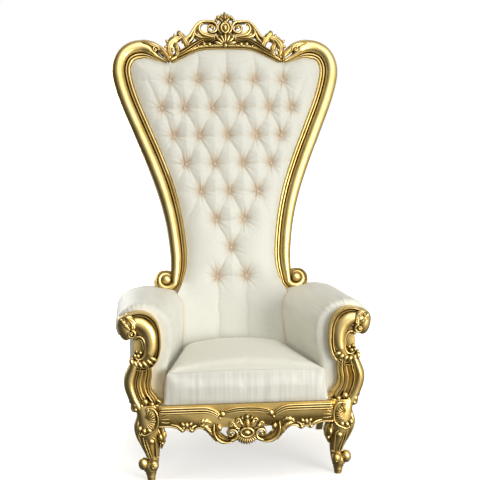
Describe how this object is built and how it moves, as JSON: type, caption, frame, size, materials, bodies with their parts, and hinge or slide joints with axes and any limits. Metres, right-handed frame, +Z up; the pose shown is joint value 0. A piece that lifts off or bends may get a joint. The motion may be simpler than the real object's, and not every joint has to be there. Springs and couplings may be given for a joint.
{
  "type": "throne armchair",
  "caption": "High-back throne armchair with a gilded carved scroll frame, button-tufted ivory satin back, rolled padded arms, thick seat cushion and cabriole front legs.",
  "frame": {"origin": "on the floor, at the middle of the bounding box seen from above", "axes": "+X to the right as seen from the front, +Y to the back, +Z up; the seat faces -Y"},
  "size_m": [0.99, 0.8542, 1.8009],
  "materials": {
    "gilt_frame": "carved wood under gold leaf, satin gloss with dark recesses",
    "ivory_satin": "ivory satin upholstery with a soft sheen",
    "ivory_buttons": "satin-covered tufting buttons",
    "outside_cloth": "plain ivory cloth, flat",
    "deck_cloth": "plain woven lining, matt"
  },
  "bodies": {
    "root": {"back_stile_left": "gilt_frame", "back_stile_right": "gilt_frame", "crest_rail": "gilt_frame", "front_rail": "gilt_frame", "back_rail": "gilt_frame", "side_rail_left": "gilt_frame", "side_rail_right": "gilt_frame", "front_leg_left": "gilt_frame", "front_leg_right": "gilt_frame", "back_leg_left": "gilt_frame", "back_leg_right": "gilt_frame", "arm_front_left": "gilt_frame", "arm_front_right": "gilt_frame", "back_pad": "ivory_satin", "arm_pad_left": "ivory_satin", "arm_pad_right": "ivory_satin", "seat_cushion": "ivory_satin", "button_01": "ivory_buttons", "button_02": "ivory_buttons", "button_03": "ivory_buttons", "button_04": "ivory_buttons", "button_05": "ivory_buttons", "button_06": "ivory_buttons", "button_07": "ivory_buttons", "button_08": "ivory_buttons", "button_09": "ivory_buttons", "button_10": "ivory_buttons", "button_11": "ivory_buttons", "button_12": "ivory_buttons", "button_13": "ivory_buttons", "button_14": "ivory_buttons", "button_15": "ivory_buttons", "button_16": "ivory_buttons", "button_17": "ivory_buttons", "button_18": "ivory_buttons", "button_19": "ivory_buttons", "button_20": "ivory_buttons", "button_21": "ivory_buttons", "button_22": "ivory_buttons", "button_23": "ivory_buttons", "button_24": "ivory_buttons", "button_25": "ivory_buttons", "button_26": "ivory_buttons", "button_27": "ivory_buttons", "button_28": "ivory_buttons", "outside_back": "outside_cloth", "seat_deck": "deck_cloth"}
  },
  "joints": []
}
